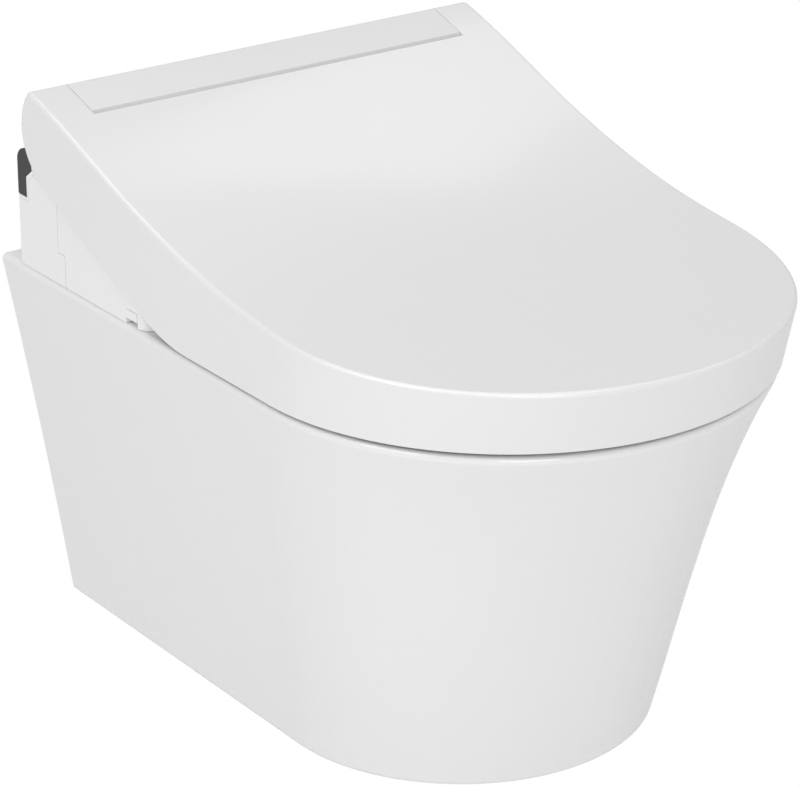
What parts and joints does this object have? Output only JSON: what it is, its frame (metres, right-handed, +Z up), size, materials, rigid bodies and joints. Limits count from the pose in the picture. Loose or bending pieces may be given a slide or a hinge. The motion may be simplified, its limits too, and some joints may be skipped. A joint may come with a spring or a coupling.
{
  "type": "wall-hung bidet toilet",
  "caption": "White wall-hung toilet pan with a washing and drying unit on its deck, a hinged heated seat, a hinged curved lid and a wand that slides out on a rack.",
  "frame": {"origin": "on the wall plane, midway between the two wall studs that carry the pan", "axes": "+X to the right as seen from the front, +Y into the wall, +Z up"},
  "size_m": [0.3774, 0.5515, 0.4171],
  "materials": {
    "ceramic": "glossy",
    "lid_plastic": "glossy",
    "case_plastic": "glossy",
    "inner_plastic": "matte",
    "charcoal_plastic": "matte",
    "nylon": "matte",
    "rubber": "matte",
    "dark_rubber": "matte",
    "steel": "brushed",
    "brass": "satin",
    "board": "matte",
    "heater_foil": "satin"
  },
  "bodies": {
    "pan": {"bowl": "ceramic", "wall_fixing_sleeves": "nylon", "wall_fixing_screws": "steel", "bolt_sleeves": "dark_rubber", "base_bolts": "steel", "base_plate": "inner_plastic"},
    "seat": {"seat_top": "lid_plastic", "seat_base": "lid_plastic", "seat_heater": "heater_foil", "seat_bumpers": "rubber", "seat_pin": "steel", "seat_bush": "nylon"},
    "lid": {"lid_shell": "lid_plastic", "lid_strip": "lid_plastic", "lid_pin": "steel", "lid_bush": "nylon", "lid_bumpers": "rubber"},
    "wand": {"wand": "inner_plastic", "wand_tip": "steel"},
    "pinion": {"wand_pinion": "nylon"},
    "impeller": {"blower_impeller": "inner_plastic"},
    "button": {"release_button": "case_plastic"},
    "unit": {"bracket_bushes": "nylon", "lid_damper": "inner_plastic", "seat_damper": "inner_plastic", "left_hinge_bracket": "inner_plastic", "right_hinge_bracket": "inner_plastic", "lower_case": "case_plastic", "upper_case": "case_plastic", "case_screws": "steel", "bracket_screws": "steel", "left_side_cover": "case_plastic", "right_side_cover": "case_plastic", "rear_cover": "case_plastic", "rear_panel": "charcoal_plastic", "wand_motor": "steel", "wand_guide": "inner_plastic", "heater_tank": "inner_plastic", "pump": "inner_plastic", "inlet_fitting": "brass", "inlet_filter": "nylon", "solenoid_valve": "inner_plastic", "control_board": "board", "cord_gland": "dark_rubber", "blower_housing": "inner_plastic", "blower_motor": "steel", "dryer_duct": "inner_plastic"}
  },
  "joints": [
    {"name": "unit_slide", "type": "slide", "parent": "pan", "child": "unit", "axis": [0, 1, 0], "range_m": [-0.06, 0]},
    {"name": "seat_hinge", "type": "hinge", "parent": "unit", "child": "seat", "pos_m": [0, -0.077, 0.1835], "axis": [1, 0, 0], "range_deg": [-97, 0]},
    {"name": "lid_hinge", "type": "hinge", "parent": "seat", "child": "lid", "pos_m": [0, -0.077, 0.1835], "axis": [-1, 0, 0], "range_deg": [0, 100]},
    {"name": "wand_slide", "type": "slide", "parent": "unit", "child": "wand", "axis": [0, -0.9272, -0.3746], "range_m": [0, 0.088]},
    {"name": "pinion_spin", "type": "hinge", "parent": "unit", "child": "pinion", "pos_m": [0.01931, -0.16189, 0.08928], "axis": [0, -0.3746, 0.9272], "range_deg": [-585, 585]},
    {"name": "impeller_spin", "type": "hinge", "parent": "unit", "child": "impeller", "pos_m": [0.06, -0.142, 0.126], "axis": [1, 0, 0], "continuous": true},
    {"name": "button_press", "type": "slide", "parent": "unit", "child": "button", "axis": [1, 0, 0], "range_m": [0, 0.004], "stiffness_N_per_m": 400}
  ],
  "couplings": [
    {"joint": "pinion_spin", "follows": "wand_slide", "rad_per_m": 114.29}
  ]
}
